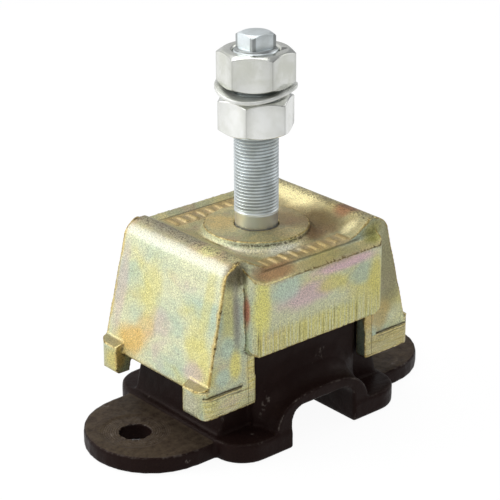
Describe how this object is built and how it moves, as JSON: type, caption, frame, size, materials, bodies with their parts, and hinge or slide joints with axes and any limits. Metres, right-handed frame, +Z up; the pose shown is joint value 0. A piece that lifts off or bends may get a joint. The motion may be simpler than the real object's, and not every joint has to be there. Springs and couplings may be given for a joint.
{
  "type": "rubber-bonded engine mount with levelling stud",
  "caption": "Footed casting carrying a bridge cover on bonded rubber, with a threaded levelling stud, two nuts and a curved spring washer between them.",
  "frame": {"origin": "on the stud's axis, at the level of the base casting's ground face", "axes": "+Z up along the stud, X along the row of the two foundation bolts, -Y the front"},
  "size_m": [0.1814, 0.0924, 0.1746],
  "materials": {
    "base_casting": "satin black paint over a forged skin, worn on the edges",
    "rubber_left": "matt moulded",
    "rubber_right": "matt moulded",
    "rubber_buffer": "matt moulded",
    "top_cover": "yellow passivated zinc over a blasted forged skin",
    "stud": "bright zinc",
    "lower_nut": "bright zinc",
    "spring_washer": "zinc over spring steel",
    "upper_nut": "bright zinc"
  },
  "bodies": {
    "base": {"base_casting": "base_casting", "rubber_left": "rubber_left", "rubber_right": "rubber_right", "rubber_buffer": "rubber_buffer"},
    "cover": {"top_cover": "top_cover", "stud": "stud"},
    "lower_nut_group": {"lower_nut": "lower_nut", "spring_washer": "spring_washer"},
    "upper_nut_group": {"upper_nut": "upper_nut"}
  },
  "joints": [
    {"name": "cover_deflection", "type": "slide", "parent": "base", "child": "cover", "axis": [0, 0, 1], "range_m": [-0.0057, 0.0015], "stiffness_N_per_m": 250000, "deforming": ["rubber_left", "rubber_right"]},
    {"name": "lower_nut_travel", "type": "slide", "parent": "cover", "child": "lower_nut_group", "axis": [0, 0, 1], "range_m": [-0.0429, 0]},
    {"name": "upper_nut_travel", "type": "slide", "parent": "cover", "child": "upper_nut_group", "axis": [0, 0, 1], "range_m": [0, 0.024]}
  ]
}
